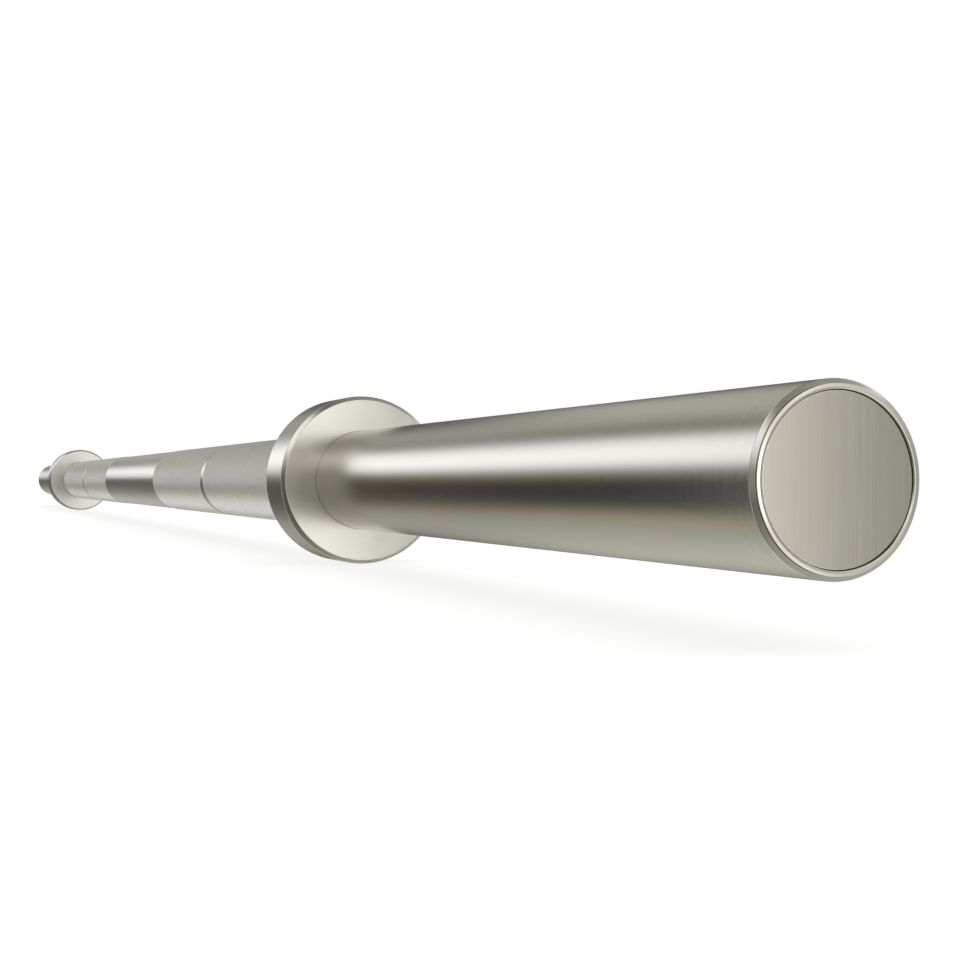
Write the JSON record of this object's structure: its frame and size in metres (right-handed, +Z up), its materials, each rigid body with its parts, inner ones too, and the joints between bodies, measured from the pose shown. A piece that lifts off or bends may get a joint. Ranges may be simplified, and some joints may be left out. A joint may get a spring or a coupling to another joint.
{
  "type": "barbell",
  "caption": "Thick-grip barbell with a knurled steel grip, a collar at each end and plate sleeves that turn freely on the shaft.",
  "frame": {"origin": "the ground under the middle of the bar's length, straight below its axis, which lies 42.5 mm up", "axes": "+X along the bar, +Z up, +Y to the bar's other side"},
  "size_m": [2.16, 0.085, 0.085],
  "materials": {
    "knurled_grip": "satin, diamond knurl on four stretches",
    "satin_sleeve": "lathe-turned satin",
    "satin_collar": "lathe-turned satin, faced",
    "brushed_cap": "straight-brushed satin",
    "machined_steel": "ground",
    "dark_steel": "black oxide",
    "bronze": "machined bronze",
    "seal_rubber": "matt"
  },
  "bodies": {
    "grip": {"grip_tube": "knurled_grip", "stub_shaft_left": "machined_steel", "thrust_washer_left": "bronze", "end_thrust_washer_left": "bronze", "retaining_washer_left": "dark_steel", "lock_washer_left": "dark_steel", "retaining_bolt_left": "dark_steel", "stub_shaft_right": "machined_steel", "thrust_washer_right": "bronze", "end_thrust_washer_right": "bronze", "retaining_washer_right": "dark_steel", "lock_washer_right": "dark_steel", "retaining_bolt_right": "dark_steel"},
    "right_sleeve": {"sleeve_right": "satin_sleeve", "collar_right": "satin_collar", "shaft_seal_right": "seal_rubber", "inner_bush_right": "bronze", "outer_bush_right": "bronze", "end_cap_right": "brushed_cap", "cap_seal_ring_right": "seal_rubber"},
    "left_sleeve": {"sleeve_left": "satin_sleeve", "collar_left": "satin_collar", "shaft_seal_left": "seal_rubber", "inner_bush_left": "bronze", "outer_bush_left": "bronze", "end_cap_left": "brushed_cap", "cap_seal_ring_left": "seal_rubber"}
  },
  "joints": [
    {"name": "right_sleeve_spin", "type": "hinge", "parent": "grip", "child": "right_sleeve", "pos_m": [0.655, 0, 0.0425], "axis": [1, 0, 0], "continuous": true},
    {"name": "left_sleeve_spin", "type": "hinge", "parent": "grip", "child": "left_sleeve", "pos_m": [-0.655, 0, 0.0425], "axis": [1, 0, 0], "continuous": true}
  ]
}
